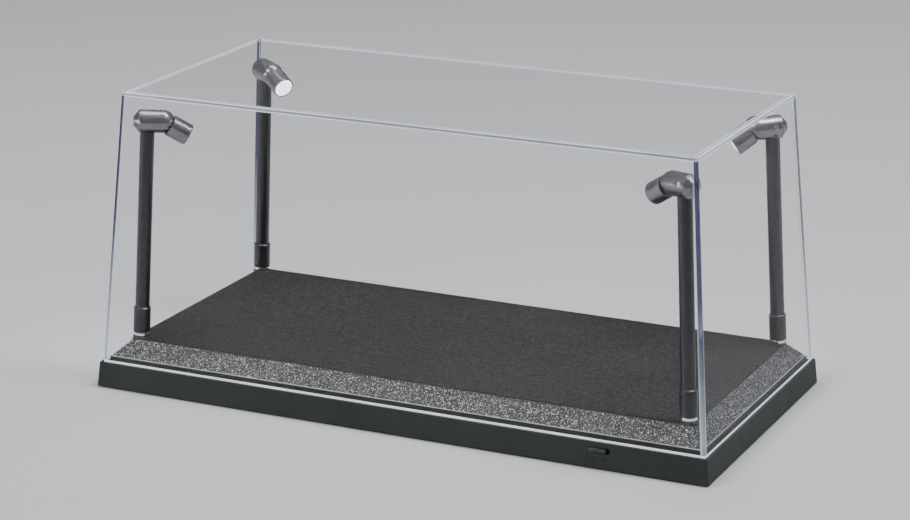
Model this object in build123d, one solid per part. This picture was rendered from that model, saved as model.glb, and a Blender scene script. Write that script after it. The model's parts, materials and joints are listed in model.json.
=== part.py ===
from build123d import *

import os
from math import cos, radians, sin, sqrt

# A lit display case for a scale model: plinth, textured deck, four swivelling spotlights and a clear cover.
# The frame is +Z up, with +X along the case and -Y at the front, where the switch is. The origin is on the
# surface that the case stands on, at the middle of its rectangle. Units are millimetres and degrees.

# ---- plinth ----
LENGTH = 355.0  # skirt, at its foot
WIDTH = 174.0
FOOT_DROP = 0.8  # how far the rubber feet stand below the skirt
SKIRT_HEIGHT = 13.3
SKIRT_DRAFT = 1.15  # how far each side of the skirt leans in over its height
SKIRT_CORNER = 0.8
WALL = 2.0
LEDGE_Z = FOOT_DROP + SKIRT_HEIGHT
SMALL_GAP = 0.05  # between pieces that are pressed or glued together

# ---- deck ----
PLINTH_HALF = (171.9, 81.3)  # half sizes of the upright step inside the cover
SLOPE_FOOT_Z = LEDGE_Z + 2.7
DECK_Z = 25.2
SLOPE_RUN = 8.7
CEILING_Z = DECK_Z - 2.2  # the inside of the deck
ROOM_INSET = 3.0  # the hollow's sides, in from the upright step
ROOM_BEND_Z = SLOPE_FOOT_Z - 0.6
STRIP_THICK = 0.8
MITRE_GAP = 0.35
MAT_THICK = 0.8
MAT_INSET = 0.2
MAT_Z = DECK_Z + MAT_THICK
RIB_THICK = 1.4
RIB_DROP = 3.0
RIB_HALF = 67.3
RIB_X = (-110.0, -60.0, 60.0, 110.0)

# ---- clear cover ----
COVER_HALF = (174.7, 84.2)  # outside, at the ledge
COVER_TAPER = (11.8, 9.4)  # how far each wall leans in over the cover's height
COVER_HEIGHT = 150.5
COVER_WALL = 2.0
COVER_EDGE = 1.0

# ---- lamps ----
POST_FOOT = (159.8, 67.9)  # where each post's axis meets the mat
POST_TOP = (153.3, 64.9)  # and where it meets the barrel's axis
BARREL_Z = 147.2
LAMPS = {  # name: side along X, side along Y, aim in degrees in from the long wall, head's angle down
    "front_left": (-1, -1, 33.0, 28.0),
    "front_right": (1, -1, 25.0, 28.0),
    "rear_left": (-1, 1, 33.0, 18.0),
    "rear_right": (1, 1, 37.0, 31.0),
}
POST_R = 3.9
POST_BORE_R = 1.6
SPIGOT_R = 2.55
SPIGOT_DEPTH = 11.0
RUNNING_GAP = 0.05
RING_Z = (1.1, 3.1)
RING_R = 4.5
COLLAR_R = 4.65
COLLAR_TOP = 17.3
COLLAR_SCREW_Z = 14.0
COLLAR_SCREW_R = 0.75
DIMPLE_Z = 73.0  # of the small round dent in the post's side
DIMPLE_R = 1.6
BARREL_R = 6.3
BARREL_REAR = 7.6  # from the post's axis to the flat rear end
REAR_FLAT_R = 2.6
SHOULDER = 4.3  # from the post's axis to where the rear end starts to narrow
PIVOT_U = 8.4  # from the post's axis to the tilt axis
ELBOW_SCREW_X = -1.2
ELBOW_SCREW_TURN = 15.0  # degrees above the barrel's side
ELBOW_SCREW_SINK = 1.6
ELBOW_SCREW_R = 1.5
ELBOW_SHANK_R = 0.75
ELBOW_SHANK = 1.1  # length
ELBOW_HEAD = 0.9  # thickness
ELBOW_SCREW_SLOT = (3.2, 0.7, 0.5)
ELBOW_SEAM = 0.1
PLUG_R = 4.35
PLUG_LENGTH = 1.5
GRUB_TURN = -32.0  # degrees below the barrel's side
GRUB_R = 0.8
BALL_R = 4.0
NECK_R = 1.7
CUP_R = 6.9
HEAD_R = 6.0
HEAD_REAR = 4.2  # from the tilt axis to the head's rear rim
HEAD_FRONT = 15.3  # from the tilt axis to the head's front
TILT_UP, TILT_DOWN = -10.0, 45.0  # the head's angles at its stops
LENS_R = 5.2
LED_SEAT = 10.2
LED_BOARD_THICK = 0.75
LED_EMITTER_R = 1.4
LED_DOME_R = 1.0
LENS_SEAT = 13.8
LENS_SINK = 0.3  # the lens's edge, in from the head's front
LENS_RISE = 1.0  # the lens's middle, out from its edge
LENS_BALL_R = 14.0
LEAD_BORE_R = 0.8

# ---- lamp sockets ----
SOCKET_R = 3.3
SOCKET_GAP = 0.15
FLANGE_R = 4.6
FLANGE_GAP = 0.25
FLANGE_Z = (-0.5, 0.8)
SOCKET_LOW = 13.5  # how far the socket reaches below the mat's top
SOCKET_BOSS = (6.0, 8.8)  # radius, and reach below the mat's top
NUT_FLATS = 9.0
NUT_THICK = 2.4

# ---- bottom plate ----
PLATE_Z = (1.6, 3.6)
PLATE_HALF = (174.8, 84.3)
BOSS_XY = [(x, y) for x in (-135.0, 0.0, 135.0) for y in (-62.0, 62.0)]
BOSS_R = 3.2
SCREW_R = 1.3
SCREW_HEAD_R = 2.6
SCREW_HEAD_Z = (PLATE_Z[0] + 0.15, PLATE_Z[0] + 1.15)
SCREW_CROSS = (3.2, 0.6, 1.2)
SCREW_TIP_Z = 11.0
FOOT_XY = [(x, y) for x in (-152.0, 152.0) for y in (-66.0, 66.0)]
FOOT_R = 6.0
FOOT_TOP_Z = 2.3

# ---- battery box ----
CELL_R = 7.1
CELL_LENGTH = 49.0
CELL_PITCH = 15.0
CELL_Z = 11.3
CELL_TIP_R = 2.6
CELL_TIP_LENGTH = 1.5
CONTACT = (0.4, 8.0, 10.0)
CONTACT_GAP = 0.1
BOX_HALF = (30.5, 24.0)
BOX_WALL = 1.4
BOX_TOP_Z = 20.6
BOX_RIB = (60.0, 0.6, 3.2)
DOOR_HALF = (29.0, 22.0)
DOOR_GAP = 0.3
DOOR_Z = (1.7, 3.3)
DOOR_HINGE_R = 0.8
DOOR_PIN_R = 0.55
DOOR_PIN_REACH = 1.5
DOOR_HINGE_X = -DOOR_HALF[0] + DOOR_HINGE_R
DOOR_HINGE_Z = DOOR_Z[0] + DOOR_HINGE_R
DOOR_NOTCH_R = 4.0
DOOR_GRIP = (0.8, 14.0, 0.8)

# ---- switch ----
SWITCH_X = 118.8
SWITCH_Z = 10.1
SLOT = (12.0, 2.9)
KNOB = (9.6, 2.1)
KNOB_PROUD = 0.8
SWITCH_TRAVEL = 2.0
SWITCH_BODY = (15.0, 6.0, 5.4)
SWITCH_BODY_Z = 9.2
STEM = (3.0, 1.6)
KNOB_GROOVE = 0.5
SWITCH_PIN = (0.8, 3.0, 0.5)
SWITCH_PIN_PITCH = 4.0
MARK_DROP = 4.8  # from the switch to the middle of the symbols under it
MARK_RAISED = 0.25
BAR_MARK = (0.5, 2.2)
BAR_MARK_PITCH = 1.1
BAR_MARKS = 4
BAR_MARKS_X = -4.6  # the first bar, from the slot's middle
BULB_MARK_X = 3.4  # the lamp symbol, from the slot's middle
BULB_DOME_UP = 0.2
BULB_OPENING = (4.0, 2.6)
BULB_OPEN_DOWN = 1.6
BULB_DOT_R = 0.5
BULB_DOT_DOWN = 0.8
BULB_MARK_R = (1.0, 1.5)

# ---- circuit board ----
BOARD = (34.0, 14.0, 1.2)
BOARD_AT = (108.0, -66.0, 6.4)
RESISTOR = (3.2, 1.6, 0.8)
CHIP = (5.0, 4.0, 1.8)
PAD_R = 1.0


def frustum(half_low, half_high, z_low, z_high):
    """A rectangular block whose four sides lean in evenly from z_low to z_high."""
    low = Pos(0, 0, z_low) * Rectangle(2 * half_low[0], 2 * half_low[1])
    high = Pos(0, 0, z_high) * Rectangle(2 * half_high[0], 2 * half_high[1])
    return loft([low, high])


def rod(radius, z_low, z_high):
    """An upright round bar about the Z axis."""
    return Pos(0, 0, z_low) * Cylinder(
        radius, z_high - z_low, align=(Align.CENTER, Align.CENTER, Align.MIN)
    )


def inset(half, by):
    return (half[0] - by, half[1] - by)


def skirt_half(z):
    """Half sizes of the skirt's outside at height z."""
    lean = SKIRT_DRAFT * (z - FOOT_DROP) / SKIRT_HEIGHT
    return (LENGTH / 2 - lean, WIDTH / 2 - lean)


def slope_half(z):
    """Half sizes of the border strips' outside at height z."""
    lean = SLOPE_RUN * (z - SLOPE_FOOT_Z) / (DECK_Z - SLOPE_FOOT_Z)
    return inset(PLINTH_HALF, lean)


def strip_run():
    """The strips' thickness measured level, across the slope."""
    rise = DECK_Z - SLOPE_FOOT_Z
    return STRIP_THICK * sqrt(rise**2 + SLOPE_RUN**2) / rise


def cover_half(z):
    """Half sizes of the cover's outside at height z."""
    share = (z - LEDGE_Z) / COVER_HEIGHT
    return (COVER_HALF[0] - COVER_TAPER[0] * share, COVER_HALF[1] - COVER_TAPER[1] * share)


# ---- frames of the lamps ----


def lamp_plane(name):
    """The plane at a post's foot: its Z runs up the leaning post and its X points where the lamp aims."""
    side_x, side_y, aim, _ = LAMPS[name]
    foot = Vector(side_x * POST_FOOT[0], side_y * POST_FOOT[1], MAT_Z)
    top = Vector(side_x * POST_TOP[0], side_y * POST_TOP[1], BARREL_Z)
    up = (top - foot).normalized()
    aimed = Vector(-side_x * cos(radians(aim)), -side_y * sin(radians(aim)), 0)
    forward = (aimed - up * aimed.dot(up)).normalized()
    return Plane(origin=foot, x_dir=forward, z_dir=up)


def barrel_height():
    """The distance along a post from the mat to the barrel's axis."""
    run_x, run_y = POST_FOOT[0] - POST_TOP[0], POST_FOOT[1] - POST_TOP[1]
    return sqrt(run_x**2 + run_y**2 + (BARREL_Z - MAT_Z) ** 2)


def head_place(name):
    """Where a head's own frame lies at rest: its origin is the ball's centre and its Z runs to the lens."""
    down = LAMPS[name][3]
    return lamp_plane(name).location * Pos(PIVOT_U, 0, barrel_height()) * Rot(0, 90 + down, 0)


# ---- plinth and deck ----


def base_shell():
    strip_half = inset(PLINTH_HALF, strip_run())
    skirt = frustum(skirt_half(FOOT_DROP), skirt_half(LEDGE_Z), FOOT_DROP, LEDGE_Z)
    corners = skirt.edges().filter_by(lambda edge: FOOT_DROP + 1 < edge.center().Z < LEDGE_Z - 1)
    skirt = fillet(corners, SKIRT_CORNER)
    plinth = frustum(PLINTH_HALF, PLINTH_HALF, LEDGE_Z - WALL, SLOPE_FOOT_Z)
    slope_top = inset(slope_half(DECK_Z), strip_run())
    slope = frustum(strip_half, slope_top, SLOPE_FOOT_Z, DECK_Z)
    outside = skirt + plinth + slope

    room_half = inset(PLINTH_HALF, ROOM_INSET)
    room_low = frustum(
        inset(skirt_half(FOOT_DROP), WALL),
        inset(skirt_half(LEDGE_Z - WALL), WALL),
        FOOT_DROP,
        LEDGE_Z - WALL,
    )
    room_mid = frustum(room_half, room_half, LEDGE_Z - WALL - 0.1, ROOM_BEND_Z)
    room_top = frustum(room_half, inset(slope_top, WALL), ROOM_BEND_Z, CEILING_Z)
    shell = outside - room_low - room_mid - room_top

    for x, y in BOSS_XY:
        shell += Pos(x, y, 0) * rod(BOSS_R, PLATE_Z[1], CEILING_Z + 0.5)
    for x in RIB_X:
        rib = Box(RIB_THICK, 2 * RIB_HALF, RIB_DROP + 0.5)
        shell += Pos(x, 0, CEILING_Z + 0.5 - (RIB_DROP + 0.5) / 2) * rib
    for name in LAMPS:
        boss = lamp_plane(name).location * rod(SOCKET_BOSS[0], -SOCKET_BOSS[1], -MAT_THICK - 1.0)
        shell += boss & outside
    for x, y in BOSS_XY:
        shell -= Pos(x, y, 0) * rod(SCREW_R + RUNNING_GAP, PLATE_Z[1] - 1, SCREW_TIP_Z + 1)
    for name in LAMPS:
        shell -= lamp_plane(name).location * rod(SOCKET_R + 0.1, -SOCKET_LOW, 4.0)
    shell -= switch_slot(SLOT, WIDTH / 2 - 6.0)
    return shell + switch_marks()


def switch_slot(size, y_in):
    """A round-ended bar from y = -y_in outwards through the front of the skirt."""
    face = Plane(origin=(SWITCH_X, -y_in, SWITCH_Z), x_dir=(1, 0, 0), z_dir=(0, -1, 0))
    return extrude(face * SlotOverall(size[0], size[1]), 10.0)


def front_face_plane(x, z):
    """A plane on the leaning front face of the skirt, with X along the case and Z outwards."""
    y = -skirt_half(z)[1]
    outward = Vector(0, -SKIRT_HEIGHT, SKIRT_DRAFT).normalized()
    return Plane(origin=(x, y, z), x_dir=(1, 0, 0), z_dir=outward)


def switch_marks():
    """Two small raised symbols under the switch: a row of bars for the batteries and a lamp."""
    marks = []
    for step in range(BAR_MARKS):
        marks.append(Pos(SWITCH_X + BAR_MARKS_X + BAR_MARK_PITCH * step, 0, 0) * Rectangle(*BAR_MARK))
    inner_r, outer_r = BULB_MARK_R
    bulb = Pos(SWITCH_X + BULB_MARK_X, BULB_DOME_UP, 0)
    dome = Circle(outer_r) - Circle(inner_r) - Pos(0, -BULB_OPEN_DOWN, 0) * Rectangle(*BULB_OPENING)
    marks.append(bulb * dome)
    marks.append(bulb * Pos(0, -BULB_DOT_DOWN, 0) * Circle(BULB_DOT_R))
    plane = front_face_plane(0, SWITCH_Z - MARK_DROP)
    solids = Part()
    for mark in marks:
        solids += extrude(plane * mark, MARK_RAISED)
        solids += extrude(plane * mark, -MARK_RAISED)
    return solids


def border_strips():
    """Four mitred strips of speckled sheet that lie on the slopes, keyed by side."""
    half_high = slope_half(DECK_Z)
    outer = frustum(PLINTH_HALF, half_high, SLOPE_FOOT_Z, DECK_Z)
    inner = frustum(
        inset(PLINTH_HALF, strip_run()), inset(half_high, strip_run()), SLOPE_FOOT_Z, DECK_Z
    )
    border = outer - inner
    long, short = PLINTH_HALF
    ridge = long - short  # the mitres run at 45 degrees from here
    reach = short + 20.0
    half_gap = MITRE_GAP / sqrt(2)
    depth = DECK_Z - SLOPE_FOOT_Z + 2.0

    def sector(points):
        face = make_face(Polyline(*points, close=True))
        return extrude(Pos(0, 0, SLOPE_FOOT_Z - 1.0) * face, depth, dir=(0, 0, 1))

    for name in LAMPS:
        border -= lamp_plane(name).location * rod(SOCKET_R + SOCKET_GAP, -5.0, 3.0)
    strips = {}
    for side, sign in (("front", -1), ("rear", 1)):
        near, far = ridge - half_gap, ridge - half_gap + reach
        points = [(-near, 0), (near, 0), (far, sign * reach), (-far, sign * reach)]
        strips[f"border_strip_{side}"] = border & sector(points)
    for side, sign in (("left", -1), ("right", 1)):
        near, far = sign * (ridge + half_gap), sign * (ridge + half_gap + reach)
        strips[f"border_strip_{side}"] = border & sector([(near, 0), (far, reach), (far, -reach)])
    return strips


def asphalt_mat():
    """The mat, whose corners are notched round the lamps' feet."""
    half = inset(slope_half(DECK_Z), MAT_INSET)
    mat = frustum(half, half, DECK_Z, MAT_Z)
    for side_x, side_y, _, _ in LAMPS.values():
        foot = Pos(side_x * POST_FOOT[0], side_y * POST_FOOT[1], 0)
        mat -= foot * rod(FLANGE_R + FLANGE_GAP, DECK_Z - 1, MAT_Z + 1)
    return mat.solids().sort_by(SortBy.VOLUME)[-1]


def clear_cover():
    top_z = LEDGE_Z + COVER_HEIGHT
    outer = frustum(cover_half(LEDGE_Z), cover_half(top_z), LEDGE_Z, top_z)
    outer = fillet(outer.edges().filter_by(lambda e: e.center().Z > LEDGE_Z + 1.0), COVER_EDGE)
    roof_z = top_z - COVER_WALL
    inner = frustum(
        inset(cover_half(LEDGE_Z), COVER_WALL), inset(cover_half(roof_z), COVER_WALL), LEDGE_Z, roof_z
    )
    return outer - inner


# ---- underside ----


def bottom_plate():
    outline = fillet(Rectangle(2 * PLATE_HALF[0], 2 * PLATE_HALF[1]).vertices(), 1.0)
    plate = extrude(Pos(0, 0, PLATE_Z[0]) * outline, PLATE_Z[1] - PLATE_Z[0])
    for x, y in BOSS_XY:
        plate -= Pos(x, y, 0) * rod(SCREW_R + 0.15, 0, 5)
        plate -= Pos(x, y, 0) * rod(SCREW_HEAD_R + 0.2, 0, SCREW_HEAD_Z[1] + SMALL_GAP)
    for x, y in FOOT_XY:
        plate -= Pos(x, y, 0) * rod(FOOT_R + 0.1, 0, FOOT_TOP_Z)
    opening_half = inset(DOOR_HALF, -DOOR_GAP)
    plate -= frustum(opening_half, opening_half, 0, 5)
    pin_holes = Cylinder(DOOR_PIN_R + RUNNING_GAP, 2 * (DOOR_HALF[1] + DOOR_PIN_REACH + DOOR_GAP))
    return plate - Pos(DOOR_HINGE_X, 0, DOOR_HINGE_Z) * Rot(90, 0, 0) * pin_holes


def bottom_screws():
    screw = rod(SCREW_HEAD_R, *SCREW_HEAD_Z) + rod(SCREW_R, SCREW_HEAD_Z[1], SCREW_TIP_Z)
    for turn in (0, 90):
        screw -= Pos(0, 0, SCREW_HEAD_Z[0]) * Rot(0, 0, turn) * Box(*SCREW_CROSS)
    return Compound([Pos(x, y, 0) * screw for x, y in BOSS_XY])


def rubber_feet():
    pad = rod(FOOT_R, 0, FOOT_TOP_Z)
    pad = fillet(pad.edges().sort_by(Axis.Z)[0], 0.5)
    return Compound([Pos(x, y, 0) * pad for x, y in FOOT_XY])


def battery_box():
    room_half = inset(BOX_HALF, BOX_WALL)
    box = frustum(BOX_HALF, BOX_HALF, PLATE_Z[1] + SMALL_GAP, BOX_TOP_Z)
    box -= frustum(room_half, room_half, 0, BOX_TOP_Z - BOX_WALL)
    for y in (-CELL_PITCH / 2, CELL_PITCH / 2):
        box += Pos(0, y, BOX_TOP_Z - BOX_WALL - 1.5) * Box(*BOX_RIB)
    return box


def battery_cells():
    half = CELL_LENGTH / 2
    body = rod(CELL_R, -half, half - CELL_TIP_LENGTH)
    tip = rod(CELL_TIP_R, half - CELL_TIP_LENGTH, half)
    cell = Rot(0, 90, 0) * (body + tip)
    cells = []
    for step, turn in ((-1, 0), (0, 180), (1, 0)):
        cells.append(Pos(0, step * CELL_PITCH, CELL_Z) * Rot(0, 0, turn) * cell)
    return Compound(cells)


def battery_contacts():
    """A metal blade at each end of each cell, with a cone that reaches towards the cell."""
    thick = CONTACT[0]
    blade_x = BOX_HALF[0] - BOX_WALL - CONTACT_GAP - thick / 2
    reach = blade_x - thick / 2 - CELL_LENGTH / 2 - CONTACT_GAP
    cone = Pos(-(thick + reach) / 2, 0, 0) * Rot(0, -90, 0) * Cone(2.4, 0.9, reach)
    contact = Pos(blade_x, 0, 0) * (Box(*CONTACT) + cone)
    contacts = []
    for turn in (0, 180):
        for step in (-1, 0, 1):
            contacts.append(Pos(0, step * CELL_PITCH, CELL_Z) * Rot(0, 0, turn) * contact)
    return Compound(contacts)


def battery_door():
    """The door hangs on a round edge at its -X end. A thumb notch is at the other end."""
    panel = frustum(DOOR_HALF, DOOR_HALF, *DOOR_Z)
    panel -= Pos(DOOR_HINGE_X - 5.0, 0, 0) * Box(10.0, 2 * DOOR_HALF[1] + 1, 10.0)
    edge = Cylinder(DOOR_HINGE_R, 2 * DOOR_HALF[1])
    pins = Cylinder(DOOR_PIN_R, 2 * (DOOR_HALF[1] + DOOR_PIN_REACH))
    panel += Pos(DOOR_HINGE_X, 0, DOOR_HINGE_Z) * Rot(90, 0, 0) * (edge + pins)
    panel -= Pos(DOOR_HALF[0] - 6.0, 0, DOOR_Z[0]) * Cylinder(DOOR_NOTCH_R, 1.0)
    for step in range(3):
        panel -= Pos(DOOR_HALF[0] - 14.0 - 2.0 * step, 0, DOOR_Z[0]) * Box(*DOOR_GRIP)
    return panel


# ---- switch and board ----


def switch_body():
    """The switch's box, close behind the front wall, with its three pins at the back."""
    front_y = -(skirt_half(SWITCH_Z)[1] - WALL - 0.25)
    box = Pos(SWITCH_X, front_y + SWITCH_BODY[1] / 2, SWITCH_BODY_Z) * Box(*SWITCH_BODY)
    travel_room = Box(STEM[0] + SWITCH_TRAVEL + 1.0, 8.0, STEM[1] + 0.6)
    box -= Pos(SWITCH_X, front_y, SWITCH_Z) * travel_room
    back_y = front_y + SWITCH_BODY[1]
    for step in (-1, 0, 1):
        pin_x = SWITCH_X + SWITCH_PIN_PITCH * step
        box += Pos(pin_x, back_y + 1.0, SWITCH_BODY_Z - 1.0) * Box(*SWITCH_PIN)
    return box


def switch_knob():
    """The knob rests at the left end of its slot and slides to the right."""
    rest_x = SWITCH_X - SWITCH_TRAVEL / 2
    face_y = skirt_half(SWITCH_Z)[1]
    out_y = face_y + KNOB_PROUD
    back_y = face_y - WALL - SMALL_GAP
    face = Plane(origin=(rest_x, -back_y, SWITCH_Z), x_dir=(1, 0, 0), z_dir=(0, -1, 0))
    knob = extrude(face * SlotOverall(*KNOB), out_y - back_y)
    knob = fillet(knob.edges().group_by(Axis.Y)[0], 0.4)
    knob += Pos(rest_x, 1.2 - back_y, SWITCH_Z) * Box(STEM[0], 4.0, STEM[1])
    groove = Box(KNOB_GROOVE, KNOB_GROOVE, 2 * KNOB[1])
    for step in (-1, 0, 1):
        knob -= Pos(rest_x + 1.4 * step, -out_y, SWITCH_Z) * groove
    return knob


def circuit_board():
    x, y, z = BOARD_AT
    board = Pos(x, y, z) * Box(*BOARD)
    top = z + BOARD[2] / 2
    for step in range(4):
        board += Pos(x - 12.0 + 6.0 * step, y - 2.0, top + 0.3) * Box(*RESISTOR)
    board += Pos(x + 12.0, y + 1.0, top + 0.8) * Box(*CHIP)
    for step in range(5):
        board += Pos(x - 12.0 + 5.0 * step, y + 4.8, top) * Cylinder(PAD_R, 3.0)
    return board


# ---- lamps ----


def socket():
    """The bush that a post turns in. Its flange stands in the mat's notch."""
    flange = rod(FLANGE_R, *FLANGE_Z)
    flange = chamfer(flange.edges().sort_by(Axis.Z)[-1], 0.3)
    bush = rod(SOCKET_R, -SOCKET_LOW, 0) + flange
    return bush - rod(SPIGOT_R + RUNNING_GAP, -SPIGOT_DEPTH - 0.8, 2.0)


def socket_nut():
    hexagon = extrude(RegularPolygon(NUT_FLATS / 2, 6, major_radius=False), NUT_THICK)
    low = -SOCKET_BOSS[1] - SMALL_GAP - NUT_THICK
    return Pos(0, 0, low) * hexagon - rod(SOCKET_R + SMALL_GAP, -SOCKET_LOW, 0)


def ring():
    band = rod(RING_R, *RING_Z)
    band = fillet(band.edges().filter_by(GeomType.CIRCLE), 0.5)
    return band - rod(SPIGOT_R + 0.04, 0, 4)


def collar():
    sleeve = rod(COLLAR_R, RING_Z[1], COLLAR_TOP)
    sleeve = chamfer(sleeve.edges().sort_by(Axis.Z)[-1], 0.55)
    sleeve -= rod(POST_R + 0.04, 0, COLLAR_TOP + 1)
    screw_hole = Pos(0, COLLAR_R, COLLAR_SCREW_Z) * Rot(90, 0, 0) * Cylinder(COLLAR_SCREW_R, 1.2)
    return sleeve - screw_hole


def post():
    top = barrel_height() - 1.6
    tube = rod(SPIGOT_R, -SPIGOT_DEPTH, RING_Z[1]) + rod(POST_R, RING_Z[1], top)
    tube -= rod(POST_BORE_R, -SPIGOT_DEPTH - 1, top + 1)
    return tube - Pos(0, POST_R + 1.2, DIMPLE_Z) * Sphere(DIMPLE_R)


def barrel_solid():
    """The whole barrel along +X, with the post's axis at X = 0."""
    half_turn = radians(45)
    rear = Line((-BARREL_REAR, 0), (-BARREL_REAR, REAR_FLAT_R))
    shoulder = Line((-BARREL_REAR, REAR_FLAT_R), (-SHOULDER, BARREL_R))
    bar = Line((-SHOULDER, BARREL_R), (PIVOT_U, BARREL_R))
    nose = ThreePointArc(
        (PIVOT_U, BARREL_R),
        (PIVOT_U + BARREL_R * cos(half_turn), BARREL_R * sin(half_turn)),
        (PIVOT_U + BARREL_R, 0),
    )
    axis = Line((PIVOT_U + BARREL_R, 0), (-BARREL_REAR, 0))
    return revolve(make_face([rear, shoulder, bar, nose, axis]), axis=Axis.X)


def at_barrel(shape):
    return Pos(0, 0, barrel_height()) * shape


def cap_cut(extra):
    """The block that parts the rear cap from the rest of the barrel."""
    return Pos(-SHOULDER + extra - 10.0, 0, 0) * Box(20.0, 20.0, 20.0)


def elbow():
    body = barrel_solid() - cap_cut(ELBOW_SEAM)
    body -= Pos(PIVOT_U, 0, 0) * Sphere(BALL_R + RUNNING_GAP)
    body -= Pos(-SHOULDER + 1.0, 0, 0) * Rot(0, 90, 0) * Cylinder(PLUG_R + SMALL_GAP, 2.2)
    body -= rod(POST_R + 0.04, -8.0, -1.55)
    body -= rod(POST_BORE_R, -3.0, 0)
    body -= Pos(PIVOT_U / 2, 0, 0) * Rot(0, 90, 0) * Cylinder(POST_BORE_R, PIVOT_U)
    body -= neck_slot()
    sink = 2 * ELBOW_SCREW_SINK
    side = Pos(ELBOW_SCREW_X, 0, 0) * Rot(ELBOW_SCREW_TURN, 0, 0) * Pos(0, BARREL_R, 0) * Rot(90, 0, 0)
    body -= side * Cylinder(ELBOW_SCREW_R + 0.15, sink)
    body -= side * Cylinder(ELBOW_SHANK_R + 0.1, sink + 2.6)
    body -= Rot(GRUB_TURN, 0, 0) * Pos(0, BARREL_R, 0) * Rot(90, 0, 0) * Cylinder(GRUB_R, 1.6)
    return at_barrel(body)


def neck_slot():
    """The slot in the nose that the head's neck swings in."""
    half_width = NECK_R + 0.25
    reach = BARREL_R + 3.0
    first, last = TILT_UP - 1.0, TILT_DOWN + 1.0
    fan = Rot(0, 90 + first, 0) * rod(half_width, 0, reach)
    fan += Rot(0, 90 + last, 0) * rod(half_width, 0, reach)
    wedge = make_face(
        Polyline(
            (0, 0),
            (reach * cos(radians(first)), -reach * sin(radians(first))),
            (reach, 0),
            (reach * cos(radians(last)), -reach * sin(radians(last))),
            close=True,
        )
    )
    fan += extrude(Plane.XZ * wedge, half_width, both=True)
    return Pos(PIVOT_U, 0, 0) * fan


def elbow_cap():
    shell = barrel_solid() & cap_cut(0.0)
    plug = Pos(-SHOULDER + 0.7, 0, 0) * Rot(0, 90, 0) * Cylinder(PLUG_R, PLUG_LENGTH)
    return at_barrel(shell + plug - rod(POST_R + 0.08, -8.0, -1.5))


def elbow_screw():
    """The small slotted screw that clamps the lead, sunk in the barrel's side."""
    seat_y = BARREL_R - ELBOW_SCREW_SINK + SMALL_GAP
    head = Pos(0, seat_y + ELBOW_HEAD / 2, 0) * Rot(90, 0, 0) * Cylinder(ELBOW_SCREW_R, ELBOW_HEAD)
    shank_y = seat_y + SMALL_GAP - ELBOW_SHANK / 2
    shank = Pos(0, shank_y, 0) * Rot(90, 0, 0) * Cylinder(ELBOW_SHANK_R, ELBOW_SHANK)
    slot = Pos(0, seat_y + ELBOW_HEAD, 0) * Box(*ELBOW_SCREW_SLOT)
    screw = head + shank - slot
    return at_barrel(Pos(ELBOW_SCREW_X, 0, 0) * Rot(ELBOW_SCREW_TURN, 0, 0) * screw)


def lamp_head():
    shell = rod(HEAD_R, HEAD_REAR, HEAD_FRONT)
    shell = chamfer(shell.edges().sort_by(Axis.Z)[-1], 0.4)
    shell -= Sphere(CUP_R)
    shell -= rod(LENS_R + 0.1, LED_SEAT, HEAD_FRONT + 1)
    stalk = rod(NECK_R, 0, CUP_R + 0.5) + Sphere(BALL_R)
    whole = shell + stalk
    whole -= rod(LEAD_BORE_R, -BALL_R - 1, LED_SEAT + 1)
    return whole


def led_module():
    """A star board with its emitter, and a separate bright cone round it."""
    board_low = LED_SEAT + SMALL_GAP
    board_high = board_low + LED_BOARD_THICK
    dome_z = board_high + 0.5
    chip = rod(LENS_R, board_low, board_high) + rod(LED_EMITTER_R, board_high, dome_z)
    chip += (Pos(0, 0, dome_z) * Sphere(LED_DOME_R)) & rod(LED_EMITTER_R, dome_z - 0.1, dome_z + 2)
    cone_low, cone_high = board_high + SMALL_GAP, LENS_SEAT - SMALL_GAP
    cone = rod(LENS_R, cone_low, cone_high)
    tall = cone_high - cone_low
    hollow = Pos(0, 0, (cone_low + cone_high) / 2) * Cone(2.0, LENS_R - 0.3, tall)
    return Compound([*chip.solids(), *(cone - hollow).solids()])


def lens():
    edge_z = HEAD_FRONT - LENS_SINK
    disc = rod(LENS_R, LENS_SEAT, edge_z)
    bulge = Pos(0, 0, edge_z + LENS_RISE - LENS_BALL_R) * Sphere(LENS_BALL_R)
    bulge = bulge & rod(LENS_R, edge_z - 0.05, HEAD_FRONT + 2)
    return disc + bulge


POST_PIECES = {
    "socket": socket,
    "ring": ring,
    "collar": collar,
    "post": post,
    "elbow": elbow,
    "elbow_cap": elbow_cap,
    "elbow_screw": elbow_screw,
}
HEAD_PIECES = {
    "lamp_head": lamp_head,
    "led_module": led_module,
    "lens": lens,
}


def main():
    os.makedirs("parts", exist_ok=True)
    pieces = {
        "base_shell": base_shell(),
        "asphalt_mat": asphalt_mat(),
        "cover": clear_cover(),
        "bottom_plate": bottom_plate(),
        "bottom_screws": bottom_screws(),
        "rubber_feet": rubber_feet(),
        "battery_box": battery_box(),
        "battery_cells": battery_cells(),
        "battery_contacts": battery_contacts(),
        "battery_door": battery_door(),
        "switch_body": switch_body(),
        "switch_knob": switch_knob(),
        "circuit_board": circuit_board(),
        **border_strips(),
    }
    nut = socket_nut()
    pieces["socket_nuts"] = Compound([lamp_plane(name).location * nut for name in LAMPS])
    for piece, make in POST_PIECES.items():
        shape = make()
        for name in LAMPS:
            pieces[f"{name}_{piece}"] = lamp_plane(name).location * shape
    for piece, make in HEAD_PIECES.items():
        shape = make()
        for name in LAMPS:
            pieces[f"{name}_{piece}"] = head_place(name) * shape
    for name, shape in pieces.items():
        export_step(shape, f"parts/{name}.step")


if __name__ == "__main__":
    main()
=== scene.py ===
"""The looks of a lit display case: materials, grainy deck coverings, lamp optics, camera and studio.

Units are metres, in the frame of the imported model: +X along the case, -Y at the front, +Z up.
"""

import json
from math import cos, radians, sin

import bmesh
import bpy
from mathutils import Matrix, Vector, noise


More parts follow.
